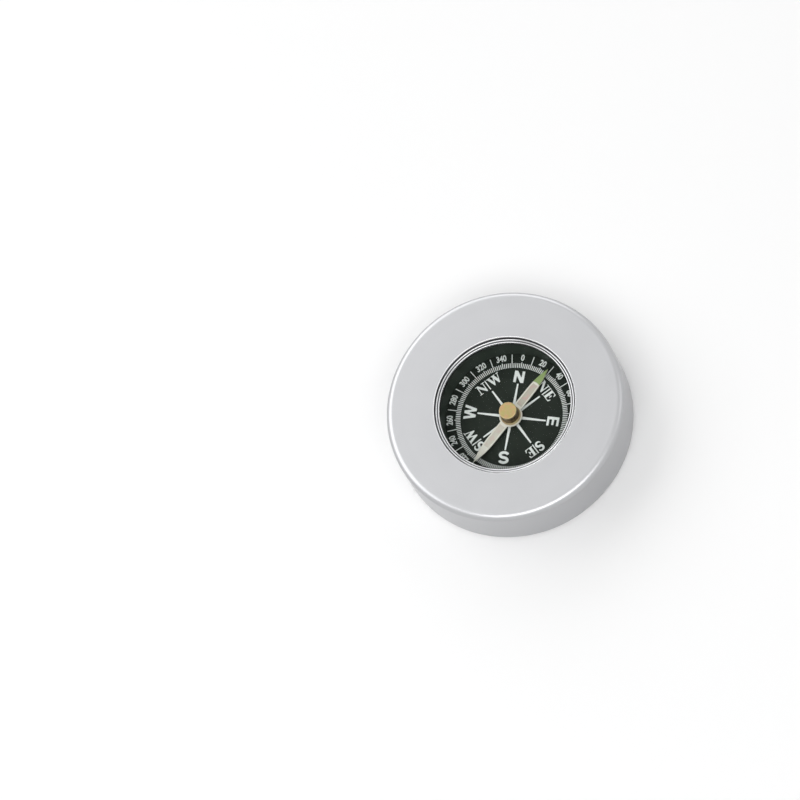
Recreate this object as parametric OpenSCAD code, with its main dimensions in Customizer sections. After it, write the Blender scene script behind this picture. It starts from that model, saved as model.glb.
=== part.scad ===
/* [Case] */
// Diameter of the turned case
case_d = 55; // [50:0.5:60]
// Height of the case, from its back to its face
case_h = 13.2; // [12.8:0.1:15]
// Radius of the edge round the face
face_round = 1.5; // [0.5:0.1:2]
// Radius of the edge round the back
back_round = 0.8; // [0.3:0.1:1.2]
// Width of the bright chamfer at the pocket's mouth
mouth_chamfer = 0.15; // [0.1:0.05:0.4]
// Gap between the pocket's wall and the bezel
pocket_gap = 0.2; // [0.1:0.05:0.4]
// Depth of the bezel's top below the face
bezel_sink = 0.6; // [0.3:0.05:0.8]

/* [Base disc] */
// Diameter of the rubber disc in the back
disc_d = 47; // [40:0.5:49]
// Thickness of the disc
disc_t = 1; // [0.8:0.1:1.5]
// Height of the disc below the back
disc_stand = 0.3; // [0.1:0.1:0.6]
// Gap round the disc in its recess
disc_gap = 0.15; // [0.05:0.05:0.3]

/* [Capsule] */
// Diameter of the capsule over its bezel
capsule_d = 32.2; // [31:0.1:34]
// Wall of the drawn cup
cup_wall = 0.25; // [0.2:0.05:0.4]
// Floor of the drawn cup
cup_floor = 0.4; // [0.3:0.05:0.5]
// Height of the cup's ledge, which carries the dial's rim
ledge_h = 0.3; // [0.2:0.05:0.5]
// Width of the cup's ledge
ledge_w = 1.2; // [0.8:0.1:2]
// Thickness of the adhesive ring under the cup
adhesive_t = 0.5; // [0.3:0.05:0.8]
// Wall of the black ring between the dial and the window
wall_t = 0.25; // [0.2:0.05:0.4]
// Height of the chamber, from the dial to the window
chamber_h = 6.1; // [5.9:0.1:6.7]

/* [Window and bezel] */
// Thickness of the window
crystal_t = 1.2; // [0.8:0.1:1.5]
// Thickness of the gasket under the window
gasket_t = 0.3; // [0.2:0.05:0.4]
// Width of the bezel, from its opening to its rim
bezel_w = 0.9; // [0.85:0.05:1.2]
// Height of the bezel above the window
bezel_rise = 0.6; // [0.55:0.05:0.8]
// Thickness of the bezel's skirt
skirt_t = 0.2; // [0.15:0.05:0.3]
// Height of the bezel's skirt down the cup
skirt_h = 5; // [3:0.5:7]
// Radius of the outer bead
outer_bead = 0.2; // [0.16:0.01:0.24]
// Radius of the inner bead
inner_bead = 0.15; // [0.12:0.01:0.18]
// Height of the outer bead over the inner one
bead_step = 0.18; // [0.1:0.02:0.2]

/* [Dial] */
// Thickness of the dial
dial_t = 0.4; // [0.3:0.05:0.6]
// Thickness of the printed ink
ink_t = 0.05; // [0.03:0.01:0.1]
// Degrees between two marks of the scale
tick_step = 2; // [2:1:5]
// Length of a mark
tick_len = 1.1; // [0.6:0.05:1.3]
// Extra length of the marks at the numbers
tick_extra = 0.25; // [0:0.05:0.5]
// Width of a mark
tick_w = 0.2; // [0.1:0.01:0.24]
// Length of the long marks between the numbers
long_len = 3.2; // [2.8:0.1:3.6]
// Width of the long marks
long_w = 0.2; // [0.15:0.01:0.3]
// Black rim outside the long marks
dial_margin = 0.26; // [0.1:0.02:0.4]
// Width of the black ring that holds the letters
letter_band = 3.85; // [3.6:0.05:4.1]
// Width of a ray near the middle
ray_root_w = 0.7; // [0.6:0.05:1]
// Width of a ray at its end
ray_end_w = 0.34; // [0.2:0.02:0.5]
// Width of the bars between the letter pairs
bar_w = 0.26; // [0.15:0.01:0.4]

/* [Needle] */
// Bearing of the needle's north arm at rest
needle_bearing = 28.5; // [0:0.5:359.5]
// Height of the needle above the dial
needle_lift = 0.7; // [0.5:0.05:1]
// Thickness of the needle
needle_t = 0.3; // [0.2:0.02:0.4]
// Width of the arms
arm_w = 2.1; // [1.4:0.1:2.4]
// Diameter of the needle's round eye
eye_d = 5.4; // [5:0.1:6]
// Gap between the needle's tips and the wall ring
tip_gap = 1.65; // [1:0.05:2.5]
// Width of the raised edge round the pressed channel
arm_rim = 0.3; // [0.2:0.05:0.45]
// Depth of the pressed channel
channel_depth = 0.08; // [0.04:0.01:0.12]
// Length of the painted tip
paint_len = 4.1; // [2:0.1:5]
// Thickness of the luminous paint
paint_t = 0.06; // [0.03:0.01:0.1]

/* [Hub and pivot] */
// Diameter of the hub's cap
cap_d = 4.1; // [3.8:0.05:4.4]
// Thickness of the hub's cap
cap_t = 0.6; // [0.5:0.05:0.8]
// Diameter of the hub's body
hub_d = 3.9; // [3.7:0.05:4]
// Diameter of the hub's foot
foot_d = 4.7; // [4.4:0.05:4.9]
// Thickness of the hub's foot
foot_t = 0.25; // [0.15:0.05:0.4]
// Height of the pivot's point above the dial
pivot_h = 3.6; // [3.2:0.05:3.8]
// Diameter of the pivot pin
pin_d = 0.6; // [0.5:0.05:0.8]
// Gap between the point and the jewel
point_gap = 0.04; // [0.02:0.01:0.08]
// Diameter of the jewel
jewel_d = 2; // [1.8:0.05:2.2]
// Height of the jewel
jewel_h = 0.7; // [0.6:0.05:0.8]

/* [Hidden] */
$fn = 96;
// Overrun of the cuts
over = 1;
// Gap of pieces that are pressed or dropped into each other
seat = 0.02;

// Sizes of the round edges and chamfers of the small pieces
disc_round = 0.3;
cup_round = 0.35;
crystal_chamfer = 0.12;
cap_chamfer = 0.12;

// Sizes of the pivot's post and of its rivet
post_d = 1.8;
post_rise = 0.2;
flange_d = 4.4;
rivet_d = 1.6;
dial_hole_gap = 0.1;
adhesive_gap = 0.4;

// Sizes of the pivot's point and of the jewel's pit
point_len = 1;
point_flat_d = 0.1;
pit_d = 1.4;
pit_flat_d = 0.2;
crown_t = 0.25;

// Sizes of the hub inside the needle and under its cap
shank_d = 3.2;
collar_d = 3.8;
collar_t = 0.15;
groove_d = 3.5;
groove_h = 0.2;
foot_slope_h = 0.35;

// Sizes of the star's parts
ray_root_d = 3.2;
cross_ray_cut = 0.1;
bar_inset = 0.5;
bar_len = 2.55;

// Thickness of the bezel in the groove between its beads
lip_t = 0.2;

// Shape of an arm: parallel up to this share of its length, then curved to a point
parallel_share = 0.5;
taper_power = 2.3;
taper_steps = 12;
// End of the pressed channel short of the paint
channel_stop = 0.5;

// Radii, from the outside in
case_r = case_d / 2;
disc_r = disc_d / 2;
bezel_r = capsule_d / 2;
bezel_in_r = bezel_r - bezel_w;
pocket_r = bezel_r + pocket_gap;
cup_r = bezel_r - skirt_t - seat;
cup_in_r = cup_r - cup_wall;
insert_r = cup_in_r - seat;
wall_in_r = insert_r - wall_t;
ledge_r = cup_in_r - ledge_w;
mark_r = wall_in_r - dial_margin;
tick_r = mark_r - long_len;
star_r = tick_r - letter_band;
arm_len = wall_in_r - tip_gap;

// Heights above the surface that the disc rests on
face_z = disc_stand + case_h;
bezel_top_z = face_z - bezel_sink;
crystal_top_z = bezel_top_z - bezel_rise;
crystal_z = crystal_top_z - crystal_t;
gasket_z = crystal_z - gasket_t;
dial_top_z = crystal_z - chamber_h;
dial_z = dial_top_z - dial_t;
cup_floor_z = dial_z - ledge_h;
cup_z = cup_floor_z - cup_floor;
pocket_z = cup_z - adhesive_t;
needle_z = dial_top_z + needle_lift;
needle_top_z = needle_z + needle_t;
point_z = dial_top_z + pivot_h;
pit_z = point_z + point_gap;
jewel_top_z = pit_z + crown_t;
hub_top_z = jewel_top_z + cap_t;

// What lies outside a quarter circle: cut from a square corner, it leaves a round one
module corner_cut(r) {
  difference() {
    square(r + over);
    circle(r);
  }
}

// The same cut for a corner that points down
module low_corner_cut(r) {
  mirror([0, 1]) corner_cut(r);
}

// Flat ring or disc, from one height and of one thickness
module ring(outer_r, inner_r, z, t) {
  translate([0, 0, z])
    difference() {
      cylinder(r = outer_r, h = t);
      if (inner_r > 0)
        translate([0, 0, -over]) cylinder(r = inner_r, h = t + 2 * over);
    }
}

// Half the width of an arm at a distance from the needle's middle
function half_width(along, wide, len) =
  let(bend = len * parallel_share)
  along <= bend ? wide / 2 : wide / 2 * (1 - pow((along - bend) / (len - bend), taper_power));

// Both sides of an arm that points along +Y, from one distance to another
function arm_outline(start, end, wide, len) =
  let(
    bend = max(start, len * parallel_share),
    stations = concat(start < bend ? [start] : [],
      [for (i = [0:taper_steps]) bend + (end - bend) * i / taper_steps])
  )
  concat([for (y = stations) [half_width(y, wide, len), y]],
    [for (i = [len(stations) - 1:-1:0]) [-half_width(stations[i], wide, len), stations[i]]]);

// One arm of the needle, as a flat shape
module arm_shape(start, end, wide, len) {
  polygon(arm_outline(start, end, wide, len));
}

// Turned case: a solid puck with a blind pocket for the capsule and a shallow recess for the disc
module case_body() {
  color("silver")
    rotate_extrude()
      difference() {
        translate([0, disc_stand]) square([case_r, case_h]);
        translate([case_r - face_round, face_z - face_round]) corner_cut(face_round);
        translate([case_r - back_round, disc_stand + back_round]) low_corner_cut(back_round);
        polygon([
          [0, pocket_z],
          [pocket_r, pocket_z],
          [pocket_r, face_z - mouth_chamfer],
          [pocket_r + mouth_chamfer, face_z],
          [pocket_r + mouth_chamfer, face_z + over],
          [0, face_z + over]
        ]);
        translate([0, disc_stand - over]) square([disc_r + disc_gap, disc_t - disc_stand + over]);
      }
}

// Black rubber disc: it fills its recess and stands a little proud of the back
module base_disc() {
  color([0.08, 0.08, 0.08])
    rotate_extrude()
      difference() {
        square([disc_r, disc_t]);
        translate([disc_r - disc_round, disc_round]) low_corner_cut(disc_round);
      }
}

// Adhesive ring between the pocket's floor and the flat part of the cup
module capsule_adhesive() {
  color("beige")
    ring(ledge_r - adhesive_gap, rivet_d / 2 + adhesive_gap, pocket_z, adhesive_t);
}

// Drawn cup with a stepped floor: the raised rim is the ledge under the dial
module capsule_cup() {
  color([0.3, 0.3, 0.32])
    rotate_extrude()
      difference() {
        translate([0, cup_z]) square([cup_r, crystal_top_z - cup_z]);
        translate([0, cup_z - over]) square([rivet_d / 2 + seat, cup_floor + 2 * over]);
        translate([0, cup_floor_z]) square([ledge_r, ledge_h + over]);
        translate([0, dial_z]) square([cup_in_r, crystal_top_z - dial_z + over]);
        translate([ledge_r + cup_floor, cup_z - over]) square([cup_r, ledge_h + over]);
        translate([cup_r - cup_round, cup_z + ledge_h + cup_round]) low_corner_cut(cup_round);
      }
}

// Brass post: a rivet through the cup's floor, a flange under the dial and a socket for the pin
module pivot_boss() {
  color("goldenrod")
    rotate_extrude()
      polygon([
        [0, cup_z],
        [rivet_d / 2, cup_z],
        [rivet_d / 2, cup_floor_z],
        [flange_d / 2, cup_floor_z],
        [flange_d / 2, dial_z],
        [post_d / 2, dial_z],
        [post_d / 2, dial_top_z + post_rise],
        [pin_d / 2 + seat, dial_top_z + post_rise],
        [pin_d / 2 + seat, cup_floor_z],
        [0, cup_floor_z]
      ]);
}

// Steel pin, ground to a point that carries the needle
module pivot_pin() {
  color("gray")
    rotate_extrude()
      polygon([
        [0, cup_floor_z],
        [pin_d / 2, cup_floor_z],
        [pin_d / 2, point_z - point_len],
        [point_flat_d / 2, point_z],
        [0, point_z]
      ]);
}

// Black dial, clamped at its rim between the ledge and the wall ring
module dial_plate() {
  color([0.1, 0.11, 0.11])
    ring(insert_r, post_d / 2 + dial_hole_gap, dial_z, dial_t);
}

// A printed mark on the dial, from one radius outwards at a bearing
module dial_mark(bearing, start_r, len, wide) {
  rotate(-bearing) translate([-wide / 2, start_r]) square([wide, len]);
}

// Degree scale: fine marks, a little longer at the numbers, and long marks between the numbers
module dial_scale() {
  color("white")
    translate([0, 0, dial_top_z])
      linear_extrude(ink_t) {
        for (bearing = [0:tick_step:359])
          if (bearing % 20 != 10)
            dial_mark(bearing, tick_r, bearing % 20 == 0 ? tick_len + tick_extra : tick_len, tick_w);
        for (bearing = [10:20:350])
          dial_mark(bearing, tick_r, long_len, long_w);
      }
}

// Star of eight tapered rays, shorter on the diagonals, where a bar splits each pair of letters
module dial_rose() {
  color("white")
    translate([0, 0, dial_top_z])
      linear_extrude(ink_t)
        for (i = [0:7]) {
          end_r = i % 2 == 0 ? star_r : star_r - cross_ray_cut;
          rotate(-45 * i)
            polygon([
              [-ray_root_w / 2, ray_root_d / 2],
              [ray_root_w / 2, ray_root_d / 2],
              [ray_end_w / 2, end_r],
              [-ray_end_w / 2, end_r]
            ]);
          if (i % 2 == 1)
            dial_mark(45 * i, star_r + bar_inset, bar_len, bar_w);
        }
}

// Black ring that lines the cup and holds the dial down
module wall_ring() {
  color([0.06, 0.06, 0.06])
    ring(insert_r, wall_in_r, dial_top_z, gasket_z - dial_top_z);
}

// Flat gasket between the wall ring and the window
module crystal_gasket() {
  color([0.15, 0.15, 0.15])
    ring(insert_r, wall_in_r, gasket_z, gasket_t);
}

// Flat window with a small chamfer on both edges
module crystal() {
  color([0.8, 0.9, 0.95, 0.3])
    rotate_extrude()
      polygon([
        [0, crystal_z],
        [insert_r - crystal_chamfer, crystal_z],
        [insert_r, crystal_z + crystal_chamfer],
        [insert_r, crystal_top_z - crystal_chamfer],
        [insert_r - crystal_chamfer, crystal_top_z],
        [0, crystal_top_z]
      ]);
}

// Bead of the bezel: a round top on a straight foot that stands on the window's plane
module bead(middle_r, bead_r, top_z) {
  translate([middle_r, top_z - bead_r]) circle(bead_r);
  translate([middle_r - bead_r, crystal_top_z])
    square([2 * bead_r, top_z - bead_r - crystal_top_z]);
}

// Polished bezel: two beads with a groove between them, and a skirt pressed over the cup
module bezel_ring() {
  color([0.85, 0.86, 0.88])
    rotate_extrude()
      union() {
        bead(bezel_in_r + inner_bead, inner_bead, bezel_top_z - bead_step);
        bead(bezel_r - outer_bead, outer_bead, bezel_top_z);
        translate([bezel_in_r + inner_bead, crystal_top_z])
          square([bezel_w - inner_bead - outer_bead, lip_t]);
        translate([bezel_r - skirt_t, crystal_top_z - skirt_h])
          square([skirt_t, skirt_h + lip_t]);
      }
}

// Turns a shape from north to the needle's bearing
module at_bearing() {
  rotate(-needle_bearing) children();
}

// Stamped needle: a round eye and two pointed arms, each with a shallow pressed channel
module needle_plate() {
  color([0.8, 0.76, 0.7])
    at_bearing()
      difference() {
        translate([0, 0, needle_z])
          linear_extrude(needle_t)
            difference() {
              union() {
                circle(eye_d / 2);
                for (side = [0, 180])
                  rotate(side) arm_shape(0, arm_len, arm_w, arm_len);
              }
              circle(shank_d / 2 + seat);
            }
        translate([0, 0, needle_top_z - channel_depth])
          linear_extrude(channel_depth + over)
            for (side = [0, 180])
              rotate(side)
                arm_shape(eye_d / 2 + arm_rim, arm_len - paint_len - channel_stop,
                  arm_w - 2 * arm_rim, arm_len - paint_len);
      }
}

// Luminous paint on the end of the north arm
module tip_paint() {
  color([0.57, 0.65, 0.37])
    at_bearing()
      translate([0, 0, needle_top_z])
        linear_extrude(paint_t)
          arm_shape(arm_len - paint_len, arm_len, arm_w, arm_len);
}

// Brass hub: a blind cap over the pin, riveted into the eye by the collar under the needle
module needle_hub() {
  color([0.78, 0.64, 0.4])
    rotate_extrude()
      polygon([
        [jewel_d / 2 + seat, needle_z - collar_t],
        [collar_d / 2, needle_z - collar_t],
        [collar_d / 2, needle_z],
        [shank_d / 2, needle_z],
        [shank_d / 2, needle_top_z],
        [foot_d / 2, needle_top_z],
        [foot_d / 2, needle_top_z + foot_t],
        [hub_d / 2, needle_top_z + foot_t + foot_slope_h],
        [hub_d / 2, hub_top_z - cap_t - groove_h],
        [groove_d / 2, hub_top_z - cap_t - groove_h],
        [groove_d / 2, hub_top_z - cap_t],
        [cap_d / 2, hub_top_z - cap_t],
        [cap_d / 2, hub_top_z - cap_chamfer],
        [cap_d / 2 - cap_chamfer, hub_top_z],
        [0, hub_top_z],
        [0, jewel_top_z],
        [jewel_d / 2 + seat, jewel_top_z]
      ]);
}

// Bearing cup at the top of the hub's bore: its pit sits on the point
module jewel() {
  color("firebrick")
    rotate_extrude()
      polygon([
        [0, pit_z],
        [pit_flat_d / 2, pit_z],
        [pit_d / 2, jewel_top_z - jewel_h],
        [jewel_d / 2, jewel_top_z - jewel_h],
        [jewel_d / 2, jewel_top_z],
        [0, jewel_top_z]
      ]);
}

case_body();
base_disc();
capsule_adhesive();
capsule_cup();
pivot_boss();
pivot_pin();
dial_plate();
dial_scale();
dial_rose();
wall_ring();
crystal_gasket();
crystal();
bezel_ring();
needle_plate();
tip_paint();
needle_hub();
jewel();
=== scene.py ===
import math
from collections import namedtuple

import bmesh
import bpy
import numpy as np
from bpy.props import FloatProperty, FloatVectorProperty, IntProperty, PointerProperty
from mathutils import Matrix, Vector


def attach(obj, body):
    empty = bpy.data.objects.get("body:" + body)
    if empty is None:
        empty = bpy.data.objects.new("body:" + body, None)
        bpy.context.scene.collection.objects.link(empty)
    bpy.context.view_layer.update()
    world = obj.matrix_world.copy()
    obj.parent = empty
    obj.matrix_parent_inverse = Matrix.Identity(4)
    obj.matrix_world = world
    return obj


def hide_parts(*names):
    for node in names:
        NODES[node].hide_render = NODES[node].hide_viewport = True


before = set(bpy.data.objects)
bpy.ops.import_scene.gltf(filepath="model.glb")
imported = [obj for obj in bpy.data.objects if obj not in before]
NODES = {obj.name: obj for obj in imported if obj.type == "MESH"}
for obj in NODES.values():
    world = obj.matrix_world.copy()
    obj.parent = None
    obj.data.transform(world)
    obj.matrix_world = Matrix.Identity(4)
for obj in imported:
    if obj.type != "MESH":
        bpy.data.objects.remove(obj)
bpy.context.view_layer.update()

bl_info = {
    "name": "Pocket compass",
    "version": (1, 0, 0),
    "blender": (4, 5, 0),
    "location": "View3D > Sidebar > Compass",
    "description": "Turned case, capsule, printed dial and needle of a pocket compass",
    "category": "Object",
}

MM = 0.001
# Points closer than this are one point
MERGE = 0.0001 * MM
# Half the width of the needle and its paint beside a point
NARROWEST = 0.002 * MM

Turned = namedtuple("Turned", "inner outer low high")


def places(mesh):
    """Every vertex of a mesh, as rows of X, Y and Z."""
    points = np.empty(len(mesh.vertices) * 3, np.float32)
    mesh.vertices.foreach_get("co", points)
    return points.reshape(-1, 3)


def turned(node):
    """Inner and outer radius, lowest and highest point of a turned CAD node."""
    x, y, z = places(NODES[node].data).T
    radii = np.hypot(x, y)
    return Turned(*(float(value) for value in (radii.min(), radii.max(), z.min(), z.max())))


CASE = turned("case_body")
DISC = turned("base_disc")
ADHESIVE = turned("capsule_adhesive")
WALL = turned("wall_ring")
GASKET = turned("crystal_gasket")
WINDOW = turned("crystal")
BEZEL = turned("bezel_ring")
DIAL = turned("dial_plate")
SCALE = turned("dial_scale")
BLADE = turned("needle_plate")
PAINT = turned("tip_paint")
HUB = turned("needle_hub")
JEWEL = turned("jewel")


def kind(prop, **fixed):
    """Function that makes a setting of one kind from its description and its default."""
    return lambda description, default, **own: prop(description=description, default=default, **(fixed | own))


whole = kind(IntProperty)
number = kind(FloatProperty, min=0.0)
share = kind(FloatProperty, min=0.0, max=1.0, subtype="FACTOR")
length = kind(FloatProperty, min=0.0, unit="LENGTH", subtype="DISTANCE", precision=5)
angle = kind(FloatProperty, unit="ROTATION", subtype="ANGLE")
colour = kind(FloatVectorProperty, min=0.0, max=1.0, size=3, subtype="COLOR")


def named(group):
    """Names each setting of a group after its own identifier."""
    for identifier, field in group.__annotations__.items():
        field.keywords["name"] = identifier.replace("_", " ").capitalize()
    return group


@named
class CaseSettings(bpy.types.PropertyGroup):
    """Turned case and the rubber disc in its back"""
    segments: whole("Steps round each turned surface", 256, min=32)
    face_round: length("Radius of the edge round the face", 1.5 * MM)
    back_round: length("Radius of the edge round the back", 0.8 * MM)
    pocket_gap: length("Gap between the bezel and the pocket's wall", 0.2 * MM)
    mouth_chamfer: length("Width of the bright cut at the pocket's mouth", 0.15 * MM)
    edge_break: length("Radius of the small broken edges", 0.05 * MM)
    disc_gap: length("Gap round the rubber disc", 0.15 * MM)
    disc_round: length("Radius of the disc's lower edge", 0.3 * MM)
    metal: colour("Satin aluminium", (0.462, 0.466, 0.478))
    bare: share("Share of the blasted face that mirrors as bare metal", 0.89)
    cut_metal: colour("Bright aluminium of the cut at the pocket's mouth", (0.85, 0.855, 0.865))
    satin: share("Roughness of the blasted faces", 0.33)
    bright_cut: share("Roughness of the cut at the pocket's mouth", 0.2)
    rubber: colour("Disc in the back", (0.022, 0.022, 0.023))


@named
class CapsuleSettings(bpy.types.PropertyGroup):
    """Bezel, window, gasket and wall of the capsule"""
    outer_bead: length("Radius of the bezel's outer bead", 0.2 * MM)
    inner_bead: length("Radius of the bezel's inner bead", 0.15 * MM)
    bead_step: length("Height of the outer bead over the inner one", 0.18 * MM)
    skirt: length("Thickness of the bezel's skirt", 0.2 * MM)
    lip: length("Thickness of the bezel between its beads", 0.2 * MM)
    window_chamfer: length("Chamfer round the window", 0.12 * MM)
    chrome: colour("Bezel", (0.66, 0.665, 0.675))
    # Painted shade: a dark colour laid in the bezel's groove, standing in for the shade and dark reflection
    # between the beads
    groove_colour: colour("Bezel between its beads", (0.12, 0.122, 0.125))
    chrome_gloss: share("Roughness of the polished bezel", 0.09)
    black_gloss: share("Roughness of the black wall", 0.42)
    window_index: number("Refractive index behind the window's gloss", 1.2, min=1.0)


@named
class DialSettings(bpy.types.PropertyGroup):
    """Printing on the dial"""
    ink: length("Thickness of the printing", SCALE.high - SCALE.low)
    number_height: length("Height of the degree numbers", 1.55 * MM)
    number_radius: length("Distance of the numbers' middle from the centre", 14.4 * MM)
    number_narrow: share("Width of the numbers against the font's own", 0.8)
    number_weight: number("Swelling of the numbers' strokes, against their height", 0.03)
    number_step: whole("Degrees between two numbers", 20, min=5)
    letter_height: length("Height of the four main letters", 2.8 * MM)
    letter_radius: length("Distance of the main letters' foot from the centre", 8.35 * MM)
    tall_s: number("Height of the main S against the other letters", 1.08, min=1.0)
    pair_height: length("Height of the letters in the diagonal pairs", 2.35 * MM)
    pair_radius: length("Distance of the pairs' foot from the centre", 8.7 * MM)
    pair_gap: length("Space between a letter of a pair and the bar", 0.32 * MM)
    black: colour("Ground of the dial", (0.0172, 0.0218, 0.0175))
    white: colour("Printing", (0.93, 0.95, 0.935))


@named
class NeedleSettings(bpy.types.PropertyGroup):
    """Needle, its paint and its hub"""
    hub_segments: whole("Steps round the hub", 160, min=32)
    bearing: angle("Bearing of the needle's north arm at rest", math.radians(28.5))
    arm_width: length("Width of the needle's arms", 2.1 * MM)
    eye_radius: length("Radius of the needle's eye", 2.7 * MM)
    bore_radius: length("Radius of the hole in the eye", BLADE.inner)
    parallel_share: share("Share of an arm before it tapers", 0.5)
    taper_power: number("Power of the arm's taper", 2.3, min=1.0)
    edge_round: length("Radius of the needle's stamped edge", 0.07 * MM)
    rim: length("Width of the raised edge round the channel", 0.3 * MM)
    channel: length("Depth of the pressed channel", 0.08 * MM)
    channel_stop: length("Distance from the channel's end to the paint", 0.5 * MM)
    paint_length: length("Length of the painted tip", 4.1 * MM)
    cap_radius: length("Radius of the hub's cap", 2.05 * MM)
    cap_height: length("Height of the hub's cap", 0.6 * MM)
    groove_radius: length("Radius of the groove under the cap", 1.75 * MM)
    groove_height: length("Height of the groove under the cap", 0.2 * MM)
    body_radius: length("Radius of the hub's body", 1.95 * MM)
    foot_height: length("Height of the hub's foot", 0.25 * MM)
    foot_slope: length("Height of the slope from the foot to the body", 0.35 * MM)
    shank_radius: length("Radius of the hub inside the needle", 1.6 * MM)
    collar_radius: length("Radius of the riveted collar under the needle", 1.9 * MM)
    collar_height: length("Height of the riveted collar", 0.15 * MM)
    cream: colour("Lacquer on the needle", (0.56, 0.52, 0.44))
    # On the raised edge this paler colour is partly a painted highlight, where light catches the stamped edge
    pale: colour("Lacquer on the needle's raised edge", (0.85, 0.82, 0.74))
    blush: colour("Pinkish patches on the needle", (0.66, 0.43, 0.4))
    green: colour("Luminous paint", (0.27, 0.36, 0.135))
    brass: colour("Hub", (0.46, 0.355, 0.175))
    # Painted highlight: pale brass laid on the rim of the hub's cap and on its foot, where light catches
    # their round and slope
    bright_brass: colour("Worn rim of the hub's cap", (0.7, 0.57, 0.34))
    copper: colour("Reddish patches on the brass", (0.52, 0.29, 0.165))
    olive: colour("Greenish patches on the brass", (0.37, 0.345, 0.12))
    # Painted shade: a dark colour laid down the hub's side under its cap, in bands that stand in for dark
    # reflections
    tarnish: colour("Dark bands down the hub's side", (0.1, 0.06, 0.025))


@named
class StageSettings(bpy.types.PropertyGroup):
    """Floor, light and camera"""
    azimuth: angle("Camera azimuth, from the south towards the east", math.radians(41.58))
    elevation: angle("Camera elevation over the face", math.radians(66.56))
    roll: angle("Turn of the picture about the camera's axis", math.radians(32.83))
    distance: length("Camera distance from the point that it looks at", 1449.0 * MM)
    aim_east: length("The point that the camera looks at, towards the east", -24.25 * MM, min=-1.0)
    aim_north: length("The point that the camera looks at, towards the north", -1.67 * MM, min=-1.0)
    lens: number("Focal length on a 36 mm sensor, in millimetres", 286.8, min=1.0)
    floor_radius: length("Radius of the floor", 4.0)
    floor_drop: length("Gap between the rubber disc and the floor", 0.02 * MM)
    floor_glow: share("Light added to the floor where it is seen", 0.06)
    sky: number("Strength of the even light", 0.39)
    key: number("Power of the large soft lamp in the west", 7.3)
    back: number("Power of the low lamp beyond the north", 5.6)
    fill: number("Power of the lamp in the north-east", 0.8)
    top: number("Power of the small lamp over the face", 0.05)
    front: number("Power of the long lamp near the camera's direction", 4.2)
    under: number("Power of the small lamp under the case", 0.014)


def rounded(corners, closed=False, steps=6, hold=0.03 * MM):
    """Outline through corners (x, y, radius), each rounded to a true arc.

    An arc between the tangent points A and B of a corner P is the rational curve
    ((1 - s)^2 A + 2 w s (1 - s) P + s^2 B) / ((1 - s)^2 + 2 w s (1 - s) + s^2),
    where w is the cosine of half the turn. A point close to each arc's ends keeps the flats beside it flat.
    """
    corners = np.array(corners, float)
    points = corners[:, :2]
    count = len(points)
    straight = math.radians(89.5)
    out = []
    for i, radius in enumerate(corners[:, 2]):
        here = points[i]
        before = points[i - 1] - here
        after = points[(i + 1) % count] - here
        to_before = before / np.linalg.norm(before)
        to_after = after / np.linalg.norm(after)
        half = math.acos(float(np.clip(to_before @ to_after, -1.0, 1.0))) / 2
        at_end = not closed and i in (0, count - 1)
        if at_end or radius <= 0 or half > straight:
            out.append(here[None])
            continue
        reach = min(radius / math.tan(half), 0.49 * np.linalg.norm(before), 0.49 * np.linalg.norm(after))
        start = here + to_before * reach
        end = here + to_after * reach
        s = np.linspace(0, 1, steps + 1)[:, None]
        weight = 2 * math.sin(half) * s * (1 - s)
        arc = ((1 - s) ** 2 * start + weight * here + s ** 2 * end) / ((1 - s) ** 2 + weight + s ** 2)
        hold_before = start + to_before * min(hold, 0.25 * (np.linalg.norm(before) - reach))
        hold_after = end + to_after * min(hold, 0.25 * (np.linalg.norm(after) - reach))
        out += [hold_before[None], arc, hold_after[None]]
    return np.concatenate(out)


def grid_faces(rows, columns, wrap_rows=False, wrap_columns=False):
    """Quads of a grid of points, row after row, joined round where a direction wraps."""
    i = np.arange(rows if wrap_rows else rows - 1)[:, None]
    j = np.arange(columns if wrap_columns else columns - 1)[None, :]
    above = (i + 1) % rows
    beside = (j + 1) % columns
    quads = (i * columns + j, i * columns + beside, above * columns + beside, above * columns + j)
    return np.stack(quads, -1).reshape(-1, 4)


def lathe(profile, closed, segments):
    """Surface turned about Z: at the angle t, a point (r, z) of the profile lies at (r cos t, r sin t, z)."""
    t = np.linspace(0, 2 * math.pi, segments, endpoint=False)[None, :]
    r = profile[:, 0][:, None]
    z = profile[:, 1][:, None] + 0 * t
    points = np.stack([r * np.cos(t), r * np.sin(t), z], -1).reshape(-1, 3)
    return points, grid_faces(len(profile), segments, wrap_rows=closed, wrap_columns=True)


def make_mesh(name, points, faces, smooth=True):
    """Mesh of points and faces, its doubles merged, so that poles close, and its faces turned outwards."""
    mesh = bpy.data.meshes.new(name)
    mesh.from_pydata(np.asarray(points, float).tolist(), [], [list(map(int, face)) for face in faces])
    shell = bmesh.new()
    shell.from_mesh(mesh)
    bmesh.ops.remove_doubles(shell, verts=shell.verts, dist=MERGE)
    bmesh.ops.dissolve_degenerate(shell, edges=shell.edges, dist=MERGE / 10)
    bmesh.ops.recalc_face_normals(shell, faces=shell.faces)
    shell.to_mesh(mesh)
    shell.free()
    mesh.polygons.foreach_set("use_smooth", np.full(len(mesh.polygons), smooth))
    mesh.update()
    return mesh


def store(mesh, name, values):
    """Stores a number on each vertex of a mesh."""
    mesh.attributes.new(name, "FLOAT", "POINT").data.foreach_set("value", values.astype(np.float32))


def piece(name, mesh, finish, body, slot, *replaced):
    """Object of a mesh that rides on a body and stands for the CAD nodes that it replaces."""
    made = bpy.data.objects.new(name, mesh)
    bpy.context.scene.collection.objects.link(made)
    mesh.materials.clear()
    mesh.materials.append(finish.material)
    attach(made, body)
    if replaced:
        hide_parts(*replaced)
    return made


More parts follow.
